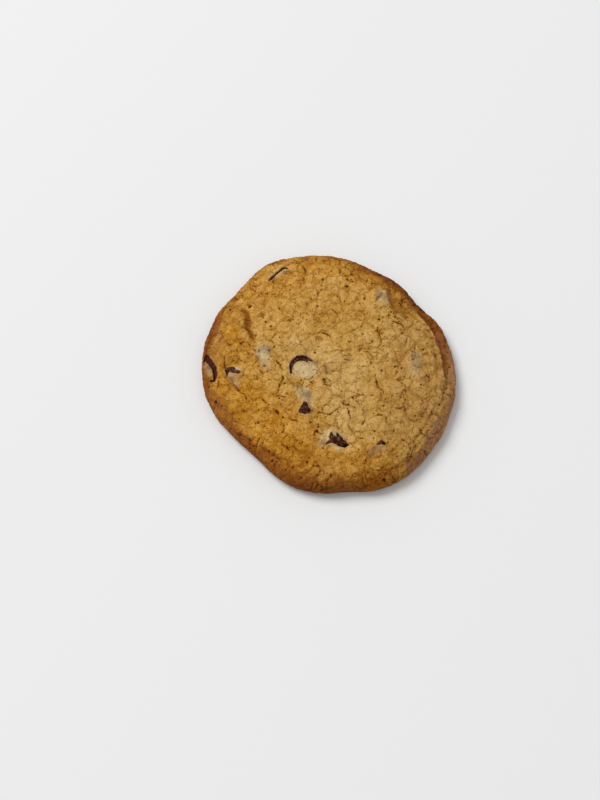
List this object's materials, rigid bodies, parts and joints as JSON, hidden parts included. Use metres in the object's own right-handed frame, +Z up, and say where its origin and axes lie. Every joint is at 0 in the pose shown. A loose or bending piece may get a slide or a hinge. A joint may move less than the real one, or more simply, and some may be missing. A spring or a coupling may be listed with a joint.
{
  "type": "chocolate chip cookie",
  "caption": "Round hand-dropped cookie with a crowned, cracked top, a flat underside and chocolate chips breaking through the crust.",
  "frame": {"origin": "on the surface that the cookie rests on, under the middle of its outline's box", "axes": "+Z up out of the top crust, +X to the right and +Y away from the side that is shown at the front"},
  "size_m": [0.1006, 0.1038, 0.0143],
  "materials": {
    "baked_dough": "matte baked crust, golden brown, darker at the rim",
    "chocolate": "semi-gloss dark chocolate with a little bloom"
  },
  "bodies": {
    "root": {"dough": "baked_dough", "chip_middle": "chocolate", "chip_left_rim": "chocolate", "chip_left": "chocolate", "chip_tip": "chocolate", "chip_front": "chocolate", "chip_front_right": "chocolate", "chip_slit": "chocolate"}
  },
  "joints": []
}
